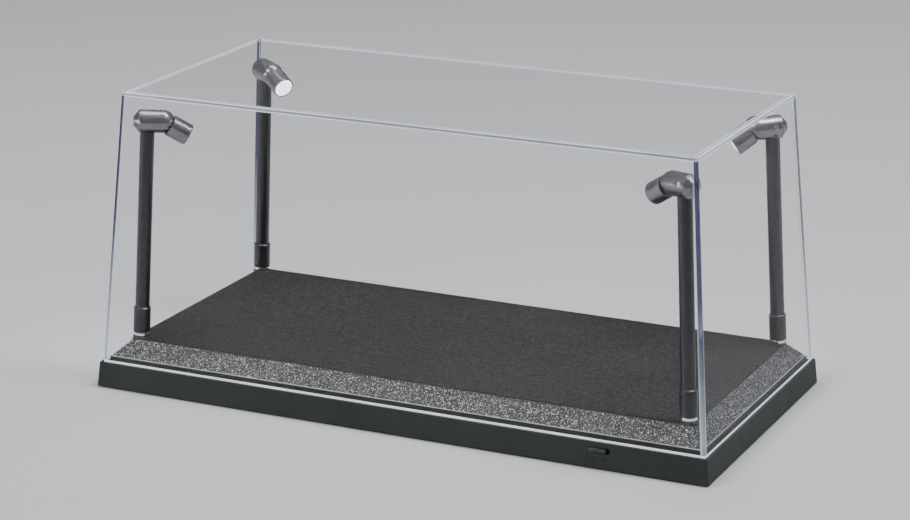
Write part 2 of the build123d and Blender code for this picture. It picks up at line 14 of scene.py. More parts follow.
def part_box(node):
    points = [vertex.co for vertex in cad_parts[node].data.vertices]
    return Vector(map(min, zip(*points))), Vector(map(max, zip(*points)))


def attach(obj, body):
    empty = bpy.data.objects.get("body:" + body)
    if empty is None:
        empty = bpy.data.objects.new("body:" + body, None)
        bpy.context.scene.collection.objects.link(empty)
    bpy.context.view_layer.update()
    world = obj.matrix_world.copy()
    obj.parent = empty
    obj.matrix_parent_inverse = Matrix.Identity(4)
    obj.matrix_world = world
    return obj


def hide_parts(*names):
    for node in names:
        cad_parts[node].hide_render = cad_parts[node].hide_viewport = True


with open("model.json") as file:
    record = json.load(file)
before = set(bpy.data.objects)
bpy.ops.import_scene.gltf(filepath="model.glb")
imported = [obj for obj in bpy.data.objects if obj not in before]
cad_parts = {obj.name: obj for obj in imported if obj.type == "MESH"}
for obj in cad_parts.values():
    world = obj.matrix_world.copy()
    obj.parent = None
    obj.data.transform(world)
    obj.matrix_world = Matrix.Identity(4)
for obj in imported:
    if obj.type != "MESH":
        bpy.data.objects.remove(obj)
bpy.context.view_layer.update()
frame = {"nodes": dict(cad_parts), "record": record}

MM = 0.001

# ---- camera ----
CAMERA_AZIMUTH = 25.19  # degrees round from the front, towards the right
CAMERA_ELEVATION = 16.85
CAMERA_DISTANCE = 1.499
CAMERA_AIM = Vector((0, 0, 0.080))
CAMERA_ACROSS = -0.0017  # sideways and upward moves that put the case where it belongs in the frame
CAMERA_RAISE = -0.0082
LENS_MM = 109.7
SENSOR_MM = 36.0

# ---- studio ----
STUDIO_CENTRE = (0, 0, 0.07)
STUDIO_LIGHTS = (  # name, place, width and height, watts, colour
    ("key_softbox", (-0.9, -1.3, 1.5), (1.1, 0.8), 18.0, (1.0, 0.99, 0.97)),
    ("right_softbox", (0.9, 0.2, 2.1), (0.6, 0.9), 35.0, (0.96, 0.98, 1.0)),
    ("left_strip", (-1.5, -1.1, 0.20), (0.12, 0.36), 8.0, (1.0, 1.0, 1.0)),
    ("right_strip", (1.5, 0.8, 0.18), (0.10, 0.32), 3.5, (1.0, 1.0, 1.0)),
    ("top_softbox", (-0.2, 0.3, 1.9), (1.2, 0.8), 14.0, (1.0, 1.0, 1.0)),
)
WORLD_COLOUR = (0.86, 0.88, 0.92, 1.0)
WORLD_STRENGTH = 0.22
FLOOR_HALF = 12.0
FLOOR_COLOUR = (0.60, 0.60, 0.61)
FLOOR_ROUGHNESS = 0.6
FLOOR_CLOUD = 0.6  # size of the floor's faint tone changes

# ---- clear cover ----
COVER_LEAN = (11.8 / 150.5, 9.4 / 150.5)  # how far each wall leans in for each unit of height
COVER_WALL = 2.0 * MM
EDGE_FADE = (0.1 * MM, 0.5 * MM)  # the edges' painted glow fades out between these depths beyond a wall's thickness
PAINTED_EDGE_OPACITY = 0.62  # how opaque the edges' painted glow makes them
RIM_HIGHLIGHT_FADE = (0.3 * MM, 0.6 * MM)  # the painted highlight line round the top's rim fades out between these
INNER_HIGHLIGHT_PLACE = 0.15 * MM  # the edges' inner painted highlight line lies this far beyond a wall's thickness
INNER_HIGHLIGHT_FADE = (0.2 * MM, 0.4 * MM)  # it fades out between these distances to either side
INNER_HIGHLIGHT_UPRIGHT = 0.45  # how bright the inner painted highlight of the upright edges is against that of the top edges
FOOT_HIGHLIGHT = 1.1 * MM  # the painted highlight band along the outside of the cover's foot
FOOT_SLANT = 2.0  # the foot's painted highlight reaches this many times less far into the wall than up it
LINE_SOFT = 0.25 * MM  # how softly the foot's painted highlight and the top edges' painted glow colour end
PALE_FOOT = (10 * MM, 80 * MM)  # the upright edges' painted glow turns from pale to navy between these heights
EDGE_GLOW = 0.6  # strength of the light that the edges give off
COVER_IOR = 1.05  # low, so that the panes stay as clear as polished thin acrylic looks
PANE_COLOUR = (0.985, 0.988, 1.0)
# colours of the edges' painted glow, and of their painted highlight lines
PALE_EDGE_GLOW = (0.34, 0.40, 0.48)
NAVY_EDGE_GLOW = (0.035, 0.033, 0.082)
TOP_EDGE_GLOW = (0.36, 0.38, 0.50)
PAINTED_HIGHLIGHT_COLOUR = (0.97, 0.98, 1.0)

# ---- deck coverings ----
GRAVEL_CELL = 0.42 * MM  # spacing of the strip's mesh
GRAVEL_STONE = 0.85 * MM  # typical stone across
GRAVEL_DEPTH = 0.28 * MM
GRAVEL_FADE = 1.0 * MM  # the stones' relief dies away over this height below the mat
GRAVEL_TONES = ((0.0, 0.002), (0.54, 0.005), (0.66, 0.02), (0.82, 0.09), (0.92, 0.29), (1.0, 0.85))
GRAVEL_CUT_HIGHLIGHT = (0.15 * MM, 0.4 * MM)  # the painted highlight on the strips' cut edge fades out between these heights
GRAVEL_CUT_HIGHLIGHT_COLOUR = (0.42, 0.43, 0.44)
GRAVEL_JOINT = (0.016, 0.016, 0.017)
GRIT = 0.38 * MM  # the fine grains that the stones are printed with
JOINT_SHARPNESS = 4.5  # larger makes the joints between stones narrower
DOME_FALL = 1.1  # larger makes the stones rounder
JOINT_DEPTH = 0.6  # how far the joints sink, as a share of the stones' height
LIFT_LEAST = 0.55  # the lowest stones' height as a share of the highest's
TONE_SEED = 7.3  # these three scatter the stones' tones and heights
LIFT_SEED = 3.1
LIFT_OFFSET = Vector((9.0, 0, 0))
STRIP_THICK = 0.75 * MM
STRIP_GAP = 0.03 * MM  # the strips' top edges stand this far outside the mat
MAT_CELL = 0.9 * MM
MAT_GRAIN = 1.4 * MM
MAT_TONES = ((0.0, 0.007), (0.4, 0.013), (0.75, 0.023), (1.0, 0.036))
MAT_CUT = (0.35 * MM, 0.2 * MM)  # the mat's paler cut edge shows below the first depth, not above the second
MAT_CUT_COLOUR = (0.10, 0.10, 0.10)
MAT_DEPTH = 0.16 * MM
MAT_SWELL = 60 * MM  # size of the slow changes in the grain's depth
MAT_SWELL_SHARE = 0.15
MAT_SINK = 0.02 * MM  # the grain's tops lie this far below the CAD mat's face
MAT_THICK = 0.7 * MM
SOCKET_HOLE = 4.0 * MM
FACING = 0.5  # faces turned less than this towards the sheet's normal are its upright edges

LAMPS = ("front_left", "front_right", "rear_left", "rear_right")
SIDES = ("front", "rear", "left", "right")

# ---- small parts ----
RUBBED_METAL = (0.34, 0.34, 0.35)  # where the lamps' paint is worn
SLEEVE_BAND = (7.8 * MM, 8.0 * MM)  # along the case, where the cells' dark sleeve turns into its pale band
SLEEVE_DARK = (0.03, 0.05, 0.08)
SLEEVE_PALE = (0.36, 0.37, 0.39)


# ---- node helpers ----


class Nodes:
    """A material's node tree with short ways to add and join nodes."""

    def __init__(self, name):
        self.material = bpy.data.materials.new(name)
        self.material.use_nodes = True
        self.tree = self.material.node_tree
        self.shader = self.tree.nodes["Principled BSDF"]
        self.output = self.tree.nodes["Material Output"]
        self.coords = self.tree.nodes.new("ShaderNodeTexCoord").outputs["Object"]

    def add(self, kind, settings=None, **inputs):
        """Makes a node; its inputs are given by name, as plain values or as sockets to join."""
        node = self.tree.nodes.new(kind)
        for key, value in (settings or {}).items():
            setattr(node, key, value)
        for key, value in inputs.items():
            socket = node.inputs[key.replace("_", " ")]
            if isinstance(value, bpy.types.NodeSocket):
                self.tree.links.new(value, socket)
            else:
                socket.default_value = value
        return node

    def join(self, source, target):
        """Links an output to an input."""
        self.tree.links.new(source, target)

    def fix(self, **inputs):
        """Sets plain values on the Principled shader."""
        for key, value in inputs.items():
            self.shader.inputs[key.replace("_", " ")].default_value = value

    def noise(self, size, detail=3.0, rough=0.55):
        """Noise between 0 and 1 whose features are about size metres across."""
        node = self.add(
            "ShaderNodeTexNoise",
            Vector=self.coords,
            Scale=1.0 / size,
            Detail=detail,
            Roughness=rough,
        )
        return node.outputs["Fac"]

    def cells(self, size, output="Color"):
        """Cells about size metres across, each with its own colour."""
        return self.add("ShaderNodeTexVoronoi", Vector=self.coords, Scale=1.0 / size).outputs[output]

    def ramp(self, fac, *stops):
        """A colour ramp; each stop is (position, colour), and a number stands for a grey."""
        node = self.add("ShaderNodeValToRGB", Fac=fac)
        elements = node.color_ramp.elements
        while len(elements) < len(stops):
            elements.new(0.5)
        for element, (place, colour) in zip(elements, stops):
            element.position = place
            grey = not hasattr(colour, "__len__")
            element.color = (colour, colour, colour, 1.0) if grey else (*colour, 1.0)
        return node.outputs["Color"]

    def spread(self, fac, low, high, from_low=0.3, from_high=0.7):
        """Maps from_low to from_high onto low to high, and no further."""
        node = self.add(
            "ShaderNodeMapRange",
            Value=fac,
            From_Min=from_low,
            From_Max=from_high,
            To_Min=low,
            To_Max=high,
        )
        return node.outputs["Result"]

    def mix(self, fac, first, second, how="MIX"):
        """Blends two colours, each a socket or a plain colour."""
        node = self.add("ShaderNodeMix", {"data_type": "RGBA", "blend_type": how})
        factor, colour_a, colour_b = node.inputs[0], node.inputs[6], node.inputs[7]
        for socket, value in ((factor, fac), (colour_a, first), (colour_b, second)):
            if isinstance(value, bpy.types.NodeSocket):
                self.join(value, socket)
            else:
                socket.default_value = value if not hasattr(value, "__len__") else (*value, 1.0)
        return node.outputs[2]

    def bump(self, height, strength, distance, normal=None):
        """A normal dented by height, on top of another normal if one is given."""
        node = self.add("ShaderNodeBump", Height=height, Strength=strength, Distance=distance)
        if normal is not None:
            self.join(normal, node.inputs["Normal"])
        return node.outputs["Normal"]

    def soft_edges(self, radius):
        """A normal that rounds the edges over radius, so that they catch the light."""
        return self.add("ShaderNodeBevel", {"samples": 4}, Radius=radius).outputs["Normal"]

    def maths(self, operation, first, second=0.0):
        """Sums and comparisons of two values, each a socket or a number."""
        node = self.add("ShaderNodeMath", {"operation": operation})
        for socket, value in zip(node.inputs, (first, second)):
            if isinstance(value, bpy.types.NodeSocket):
                self.join(value, socket)
            else:
                socket.default_value = value
        return node.outputs[0]

    def pass_shadows(self, colour):
        """Lets light through to what is behind, as thin clear plastic does."""
        path = self.add("ShaderNodeLightPath").outputs["Is Shadow Ray"]
        through = self.add("ShaderNodeBsdfTransparent", Color=(*colour, 1.0))
        either = self.add("ShaderNodeMixShader", Fac=path)
        self.join(self.shader.outputs["BSDF"], either.inputs[1])
        self.join(through.outputs["BSDF"], either.inputs[2])
        self.join(either.outputs["Shader"], self.output.inputs["Surface"])

    def edge_mask(self, radius):
        """About 1 along outside edges and 0 on flat stretches."""
        geometry = self.add("ShaderNodeNewGeometry").outputs["Normal"]
        rounded = self.soft_edges(radius)
        dot = self.add("ShaderNodeVectorMath", {"operation": "DOT_PRODUCT"})
        self.join(geometry, dot.inputs[0])
        self.join(rounded, dot.inputs[1])
        return self.spread(dot.outputs["Value"], 1.0, 0.0, 0.75, 0.97)


# ---- materials ----


def moulded_plastic(name, colour, roughness, wear=0.35):
    """Moulded plastic with a fine spark grain, uneven gloss, a little dust and paler edges, partly rubbed
    wear and partly painted highlight.
    """
    n = Nodes(name)
    cloud = n.noise(38 * MM, detail=4.0)
    speck = n.noise(0.7 * MM, detail=2.0)
    darker = tuple(0.9 * c for c in colour)
    lighter = tuple(min(1.0, 1.1 * c + 0.001) for c in colour)
    base = n.mix(n.spread(cloud, 0.0, 1.0), darker, lighter)
    base = n.mix(n.spread(speck, 0.0, 0.35, 0.5, 0.8), base, tuple(1.5 * c + 0.004 for c in colour))
    # paler edges: partly rubbed wear, partly a painted highlight along the edges
    rubbed = tuple(2.5 * c + 0.05 for c in colour)
    worn_and_highlit_edges = n.spread(n.noise(5 * MM), 0.0, wear, 0.35, 0.65)
    worn_and_highlit_edges = n.maths("MULTIPLY", n.edge_mask(0.45 * MM), worn_and_highlit_edges)
    base = n.mix(worn_and_highlit_edges, base, rubbed)
    n.join(base, n.shader.inputs["Base Color"])
    patches = n.noise(11 * MM, detail=5.0)
    n.join(n.spread(patches, roughness - 0.03, roughness + 0.04), n.shader.inputs["Roughness"])
    grainy = n.bump(n.noise(0.35 * MM, detail=2.0), 0.5, 0.012 * MM, n.soft_edges(0.3 * MM))
    n.join(grainy, n.shader.inputs["Normal"])
    n.fix(Specular_IOR_Level=0.06)
    return n.material


def asphalt():
    """The mat: a dark sheet with a fine asphalt grain, faint lighter smears and a paler cut edge."""
    n = Nodes("asphalt_sheet")
    grit = n.add("ShaderNodeSeparateColor", Color=n.cells(0.6 * MM)).outputs["Red"]
    tone = n.ramp(grit, *MAT_TONES)
    fine = n.noise(0.45 * MM, detail=4.0, rough=0.7)
    tone = n.mix(0.8, tone, n.ramp(fine, (0.32, 0.45), (0.5, 1.0), (0.7, 1.7)), "MULTIPLY")
    smear = n.noise(55 * MM, detail=6.0, rough=0.6)
    tone = n.mix(1.0, tone, n.ramp(smear, (0.3, 0.86), (0.7, 1.16)), "MULTIPLY")
    top_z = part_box("asphalt_mat")[1].z
    height = n.add("ShaderNodeSeparateXYZ", Vector=n.coords).outputs["Z"]
    cut = n.spread(height, 1.0, 0.0, top_z - MAT_CUT[0], top_z - MAT_CUT[1])
    n.join(n.mix(cut, tone, MAT_CUT_COLOUR), n.shader.inputs["Base Color"])
    n.join(n.spread(n.noise(2.5 * MM), 0.7, 0.9), n.shader.inputs["Roughness"])
    n.join(n.bump(fine, 0.7, 0.06 * MM), n.shader.inputs["Normal"])
    n.fix(Specular_IOR_Level=0.18)
    return n.material


def gravel():
    """The border: fine black, grey and white grit, pressed in slight relief, with a painted highlight along
    its cut edge.
    """
    n = Nodes("gravel_sheet")
    stone = n.add("ShaderNodeAttribute", {"attribute_name": "stone_tone"}).outputs["Fac"]
    joint = n.add("ShaderNodeAttribute", {"attribute_name": "stone_joint"}).outputs["Fac"]
    grit = n.add("ShaderNodeSeparateColor", Color=n.cells(GRIT)).outputs["Red"]
    tone = n.ramp(grit, *GRAVEL_TONES)
    clump = n.ramp(stone, (0.0, 0.6), (0.5, 1.0), (1.0, 1.3))
    tone = n.mix(0.5, tone, clump, "MULTIPLY")
    tone = n.mix(n.spread(joint, 0.0, 0.35, 0.1, 1.0), tone, GRAVEL_JOINT)
    drift = n.noise(40 * MM, detail=3.0)
    tone = n.mix(1.0, tone, n.ramp(drift, (0.3, 0.92), (0.7, 1.08)), "MULTIPLY")
    height = n.add("ShaderNodeSeparateXYZ", Vector=n.coords).outputs["Z"]
    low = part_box("border_strip_front")[0].z
    # painted highlight: the strips' lower cut edge is made pale where it catches the light
    cut = n.spread(height, 0.7, 0.0, low + GRAVEL_CUT_HIGHLIGHT[0], low + GRAVEL_CUT_HIGHLIGHT[1])
    n.join(n.mix(cut, tone, GRAVEL_CUT_HIGHLIGHT_COLOUR), n.shader.inputs["Base Color"])
    n.join(n.spread(n.noise(1.2 * MM), 0.45, 0.75), n.shader.inputs["Roughness"])
    n.join(n.bump(n.noise(0.3 * MM, detail=3.0), 0.5, 0.06 * MM), n.shader.inputs["Normal"])
    return n.material


def clear_acrylic():
    """The cover: clear acrylic with a painted glow and painted highlight lines along its edges.

    The walls lean in, so the edges are found from the cover's half sizes at each height.
    The painted glow on the top's edges is lavender, and on the upright ones it turns from pale at the foot
    to navy.
    """
    n = Nodes("clear_acrylic")
    low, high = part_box("cover")
    split = n.add("ShaderNodeSeparateXYZ", Vector=n.coords)
    rise = n.maths("SUBTRACT", split.outputs["Z"], low.z)
    lean_x, lean_y = COVER_LEAN
    half_x = n.maths("SUBTRACT", high.x, n.maths("MULTIPLY", rise, lean_x))
    half_y = n.maths("SUBTRACT", high.y, n.maths("MULTIPLY", rise, lean_y))
    from_x = n.maths("SUBTRACT", half_x, n.maths("ABSOLUTE", split.outputs["X"]))
    from_y = n.maths("SUBTRACT", half_y, n.maths("ABSOLUTE", split.outputs["Y"]))
    from_top = n.maths("SUBTRACT", high.z, split.outputs["Z"])
    corner = n.maths("MAXIMUM", from_x, from_y)
    wall = n.maths("MINIMUM", from_x, from_y)
    brow = n.maths("MAXIMUM", wall, from_top)
    edge = n.maths("MINIMUM", corner, brow)
    # painted glow: the edges turn opaque and give off light, standing in for light caught in them
    body = n.spread(edge, 1.0, 0.0, COVER_WALL + EDGE_FADE[0], COVER_WALL + EDGE_FADE[1])
    along_top = n.spread(brow, 1.0, 0.0, COVER_WALL, COVER_WALL + LINE_SOFT)
    rim = n.spread(brow, 1.0, 0.0, *RIM_HIGHLIGHT_FADE)
    inner = n.maths("ABSOLUTE", n.maths("SUBTRACT", edge, COVER_WALL + INNER_HIGHLIGHT_PLACE))
    inner_highlight = n.spread(inner, 1.0, 0.0, *INNER_HIGHLIGHT_FADE)
    inner_highlight = n.maths("MULTIPLY", inner_highlight, n.spread(along_top, INNER_HIGHLIGHT_UPRIGHT, 1.0, 0.0, 1.0))
    foot = n.maths("MAXIMUM", rise, n.maths("MULTIPLY", wall, FOOT_SLANT))
    band = n.spread(foot, 1.0, 0.0, FOOT_HIGHLIGHT, FOOT_HIGHLIGHT + LINE_SOFT)
    # painted highlights: the lines round the top's rim, inside the edges and along the foot
    line = n.maths("MAXIMUM", n.maths("MAXIMUM", rim, inner_highlight), band)
    glow = n.spread(n.noise(30 * MM, detail=2.0), 0.75, 1.0)
    painted_edge_light = n.maths("MULTIPLY", n.maths("MAXIMUM", n.maths("MULTIPLY", body, PAINTED_EDGE_OPACITY), line), glow)
    # colours of the painted glow: pale to navy up the upright edges, lavender along the top
    upright = n.mix(n.spread(rise, 0.0, 1.0, *PALE_FOOT), PALE_EDGE_GLOW, NAVY_EDGE_GLOW)
    edge_glow_colour = n.mix(along_top, upright, TOP_EDGE_GLOW)
    painted_edge_colour = n.mix(line, edge_glow_colour, PAINTED_HIGHLIGHT_COLOUR)
    n.join(n.mix(body, PANE_COLOUR, painted_edge_colour), n.shader.inputs["Base Color"])
    # the painted glow is given off as emission
    n.join(n.mix(painted_edge_light, (0.0, 0.0, 0.0), painted_edge_colour), n.shader.inputs["Emission Color"])
    n.fix(Emission_Strength=EDGE_GLOW)
    n.join(n.maths("SUBTRACT", 1.0, painted_edge_light), n.shader.inputs["Transmission Weight"])
    n.fix(IOR=COVER_IOR)
    sawn = n.spread(n.noise(1.5 * MM, detail=6.0), 0.08, 0.3, 0.35, 0.7)
    n.join(n.maths("MULTIPLY", sawn, painted_edge_light), n.shader.inputs["Roughness"])
    wave = n.noise(60 * MM, detail=1.0)
    n.join(n.bump(wave, 0.04, 0.2 * MM), n.shader.inputs["Normal"])
    n.pass_shadows((0.95, 0.955, 0.965))
    return n.material


def lamp_finish(name, colour, roughness, rubbed, edge):
    """The lamps: satin gunmetal paint, faintly uneven.

    rubbed is how far the paint is worn at its edges. edge is the radius that they look rounded over.
    """
    n = Nodes(name)
    cloud = n.noise(9 * MM, detail=4.0)
    darker = tuple(0.92 * c for c in colour)
    lighter = tuple(1.08 * c for c in colour)
    base = n.mix(n.spread(cloud, 0.0, 1.0), darker, lighter)
    patchy = n.spread(n.noise(2.5 * MM), 0.1 * rubbed, rubbed, 0.35, 0.65)
    wear = n.maths("MULTIPLY", n.edge_mask(0.3 * MM), patchy)
    n.join(n.mix(wear, base, RUBBED_METAL), n.shader.inputs["Base Color"])
    n.fix(Metallic=0.85, Specular_IOR_Level=0.6)
    gloss = n.noise(3 * MM, detail=5.0)
    n.join(n.spread(gloss, roughness, roughness + 0.05), n.shader.inputs["Roughness"])
    rounded = n.soft_edges(edge) if edge else None
    orange_peel = n.bump(n.noise(0.45 * MM, detail=2.0), 0.15, 0.004 * MM, rounded)
    n.join(orange_peel, n.shader.inputs["Normal"])
    return n.material


def bright_metal(name, colour, roughness, smudge):
    """Plated or bare metal with smudges and fine scratches."""
    n = Nodes(name)
    n.fix(Metallic=1.0)
    cloud = n.noise(3 * MM, detail=4.0)
    dull = tuple(0.86 * c for c in colour)
    n.join(n.mix(n.spread(cloud, 0.0, 1.0), dull, colour), n.shader.inputs["Base Color"])
    marks = n.noise(1.1 * MM, detail=6.0, rough=0.7)
    n.join(n.spread(marks, roughness, roughness + smudge), n.shader.inputs["Roughness"])
    scratch = n.bump(n.noise(0.25 * MM, detail=2.0), 0.2, 0.005 * MM, n.soft_edges(0.15 * MM))
    n.join(scratch, n.shader.inputs["Normal"])
    return n.material


def glossy_plastic(name, colour, roughness, edge):
    """Glossy moulded plastic with smudges; edge is the radius its edges look rounded over."""
    n = Nodes(name)
    cloud = n.noise(6 * MM, detail=4.0)
    darker = tuple(0.8 * c for c in colour)
    lighter = tuple(min(1.0, 1.25 * c + 0.003) for c in colour)
    n.join(n.mix(n.spread(cloud, 0.0, 1.0), darker, lighter), n.shader.inputs["Base Color"])
    smudges = n.noise(2.2 * MM, detail=5.0)
    n.join(n.spread(smudges, roughness, roughness + 0.14), n.shader.inputs["Roughness"])
    ripple = n.bump(n.noise(0.9 * MM, detail=2.0), 0.25, 0.01 * MM, n.soft_edges(edge))
    n.join(ripple, n.shader.inputs["Normal"])
    return n.material


def rubber():
    """The feet: dull dusty rubber."""
    n = Nodes("foot_rubber")
    dust = n.noise(2.5 * MM, detail=5.0)
    n.join(n.ramp(dust, (0.35, 0.012), (0.7, 0.04)), n.shader.inputs["Base Color"])
    n.join(n.spread(dust, 0.7, 0.92), n.shader.inputs["Roughness"])
    n.join(n.bump(n.noise(0.4 * MM), 0.5, 0.03 * MM), n.shader.inputs["Normal"])
    return n.material


def lens_plastic():
    """The lens: clear moulded plastic, faintly uneven; shadow rays pass it."""
    n = Nodes("lens_clear")
    n.fix(IOR=1.52, Transmission_Weight=1.0, Base_Color=(0.97, 0.985, 1.0, 1.0))
    n.join(n.spread(n.noise(0.8 * MM, detail=4.0), 0.02, 0.09), n.shader.inputs["Roughness"])
    n.join(n.bump(n.noise(1.3 * MM, detail=1.0), 0.25, 0.05 * MM), n.shader.inputs["Normal"])
    n.pass_shadows((0.95, 0.96, 0.97))
    return n.material


def led_bright():
    """The lit emitter and its reflector: pale, glossy and glowing a little."""
    n = Nodes("led_bright")
    cloud = n.noise(1.2 * MM, detail=3.0)
    tone = n.ramp(cloud, (0.3, (0.72, 0.74, 0.78)), (0.7, (0.9, 0.92, 0.95)))
    n.join(tone, n.shader.inputs["Base Color"])
    n.join(n.spread(cloud, 0.12, 0.3), n.shader.inputs["Roughness"])
    n.fix(Metallic=0.4, Emission_Color=(0.93, 0.96, 1.0, 1.0), Emission_Strength=2.6)
    return n.material


def cell_wrap():
    """The battery cells' plain printed sleeve: dark slate blue with a pale grey band."""
    n = Nodes("cell_sleeve")
    along = n.add("ShaderNodeSeparateXYZ", Vector=n.coords).outputs["X"]
    band = n.spread(along, 0.0, 1.0, *SLEEVE_BAND)
    n.join(n.mix(band, SLEEVE_DARK, SLEEVE_PALE), n.shader.inputs["Base Color"])
    n.join(n.spread(n.noise(4 * MM), 0.2, 0.36), n.shader.inputs["Roughness"])
    n.join(n.bump(n.noise(1.5 * MM), 0.3, 0.01 * MM), n.shader.inputs["Normal"])
    return n.material


def board():
    """The circuit board: green with a faint weave."""
    n = Nodes("board_green")
    weave = n.cells(0.9 * MM, "Distance")
    tone = n.ramp(weave, (0.0, (0.012, 0.075, 0.03)), (0.7, (0.02, 0.115, 0.045)))
    n.join(tone, n.shader.inputs["Base Color"])
    n.join(n.spread(n.noise(2 * MM), 0.22, 0.4), n.shader.inputs["Roughness"])
    n.join(n.bump(weave, 0.2, 0.02 * MM), n.shader.inputs["Normal"])
    return n.material


MATERIALS = {
    "satin_black": moulded_plastic("plinth_plastic", (0.041, 0.047, 0.046), roughness=0.5),
    "matt_black": moulded_plastic("inner_plastic", (0.026, 0.026, 0.028), roughness=0.55, wear=0.2),
    "gloss_black": glossy_plastic("gloss_black", (0.045, 0.045, 0.048), roughness=0.18, edge=0.6 * MM),
    "asphalt": asphalt(),
    "gravel": gravel(),
    "clear": clear_acrylic(),
    # the heads' finish is a lighter copy of the posts' one: painted light
    "lamp_grey": lamp_finish(
        "lamp_gunmetal_painted_light", (0.235, 0.235, 0.24), roughness=0.21, rubbed=0.7, edge=0.4 * MM
    ),
    "chrome": bright_metal("chrome_plate", (0.86, 0.86, 0.88), roughness=0.06, smudge=0.12),
    "steel": bright_metal("zinc_steel", (0.52, 0.52, 0.53), roughness=0.24, smudge=0.2),
    "lens": lens_plastic(),
    "led": led_bright(),
    "rubber": rubber(),
    "cell_wrap": cell_wrap(),
    "board": board(),
}
# the posts and collars take a darker copy of the same finish: painted shade
POST_SHADED_FINISH = lamp_finish("post_gunmetal_painted_shade", (0.06, 0.06, 0.063), roughness=0.31, rubbed=0.0, edge=0.0)


def dress_cad_nodes():
    """Gives every CAD node the material of its slot; the posts and collars get a darker copy of the heads'
    finish, painted shade set against the heads' painted light.
    """
    slots = {part["node"]: part["material_slot"] for part in frame["record"]["subparts"]}
    for name, piece in frame["nodes"].items():
        finish = POST_SHADED_FINISH if name.endswith(("_post", "_collar")) else MATERIALS[slots[name]]
        piece.data.materials.clear()
        piece.data.materials.append(finish)


# ---- deck coverings ----


def stone_height(point):
    """Height from 0 to 1 of the stones at a point, with the stone's tone and how near its joint is."""
    distances, corners = noise.voronoi(point / GRAVEL_STONE)
    nearest, second = distances[0], distances[1]
    joint = max(0.0, 1.0 - (second - nearest) * JOINT_SHARPNESS)
    dome = max(0.0, 1.0 - nearest * nearest * DOME_FALL)
    tone = noise.cell(corners[0] * TONE_SEED)
    lift = LIFT_LEAST + (1.0 - LIFT_LEAST) * noise.cell(corners[0] * LIFT_SEED + LIFT_OFFSET)
    return dome * lift * (1.0 - JOINT_DEPTH * joint), tone, joint


def grid_points(corners, cell):
    """Rows of points over the four-sided patch low-left, low-right, high-right, high-left."""
    low_a, low_b, high_b, high_a = corners
    along = max(2, round((low_b - low_a).length / cell))
    across = max(2, round((high_a - low_a).length / cell))
    rows = []
    for j in range(across + 1):
        start = low_a.lerp(high_a, j / across)
        end = low_b.lerp(high_b, j / across)
        rows.append([start.lerp(end, i / along) for i in range(along + 1)])
    return rows


def sheet_mesh(name, rows, normal, thick, height, hole=None):
    """A closed sheet: a dented top on the rows of points, upright edges and a flat back.

    height gives how far a point lies below the sheet's face, and its shading values.
    hole says whether a point lies in a cut-out.
    """
    mesh = bpy.data.meshes.new(name)
    work = bmesh.new()
    tone_layer = work.verts.layers.float.new("stone_tone")
    joint_layer = work.verts.layers.float.new("stone_joint")
    grid = []
    for row in rows:
        line = []
        for point in row:
            depth, tone, joint = height(point)
            vertex = work.verts.new(point - normal * depth)
            vertex[tone_layer] = tone
            vertex[joint_layer] = joint
            line.append(vertex)
        grid.append(line)
    for low, high in zip(grid, grid[1:]):
        for a, b, c, d in zip(low, low[1:], high[1:], high):
            middle = (a.co + c.co) / 2
            if hole is None or not hole(middle):
                work.faces.new((a, b, c, d))
    bmesh.ops.delete(work, geom=[v for v in work.verts if not v.link_faces], context="VERTS")
    rim = [edge for edge in work.edges if edge.is_boundary]
    skirt = bmesh.ops.extrude_edge_only(work, edges=rim)["geom"]
    for vertex in (part for part in skirt if isinstance(part, bmesh.types.BMVert)):
        face_height = (vertex.co - rows[0][0]).dot(normal)
        vertex.co -= normal * (face_height + thick)
    back = [edge for edge in work.edges if edge.is_boundary]
    bmesh.ops.triangle_fill(work, edges=back, use_beauty=True, normal=-normal)
    bmesh.ops.recalc_face_normals(work, faces=work.faces)
    for face in work.faces:
        face.smooth = abs(face.normal.dot(normal)) > FACING
    work.to_mesh(mesh)
    work.free()
    piece = bpy.data.objects.new(name, mesh)
    bpy.context.scene.collection.objects.link(piece)
    return piece


def strip_corners(side, inner_half):
    """The four corners of a border strip's face, worked out from its CAD box, with its outward normal.

    inner_half holds the half sizes of the rectangle that the strips' top edges stand on.
    """
    low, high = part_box(f"border_strip_{side}")
    half_low = (high - low) / 2
    top_z = high.z
    if side in ("front", "rear"):
        sign = -1 if side == "front" else 1
        outer_y = low.y if sign < 0 else high.y
        gap = half_low.x - (abs(outer_y) + inner_half.x - inner_half.y)
        top_half = inner_half.x + gap
        corners = [
            Vector((-half_low.x, outer_y, low.z)),
            Vector((half_low.x, outer_y, low.z)),
            Vector((top_half, sign * inner_half.y, top_z)),
            Vector((-top_half, sign * inner_half.y, top_z)),
        ]
    else:
        sign = -1 if side == "left" else 1
        outer_x = low.x if sign < 0 else high.x
        gap = half_low.y - (abs(outer_x) - inner_half.x + inner_half.y)
        top_half = inner_half.y + gap
        corners = [
            Vector((outer_x, -half_low.y, low.z)),
            Vector((outer_x, half_low.y, low.z)),
            Vector((sign * inner_half.x, top_half, top_z)),
            Vector((sign * inner_half.x, -top_half, top_z)),
        ]
    along = corners[1] - corners[0]
    up_slope = corners[3] - corners[0]
    normal = along.cross(up_slope).normalized()
    if normal.z < 0:
        normal = -normal
    return corners, normal


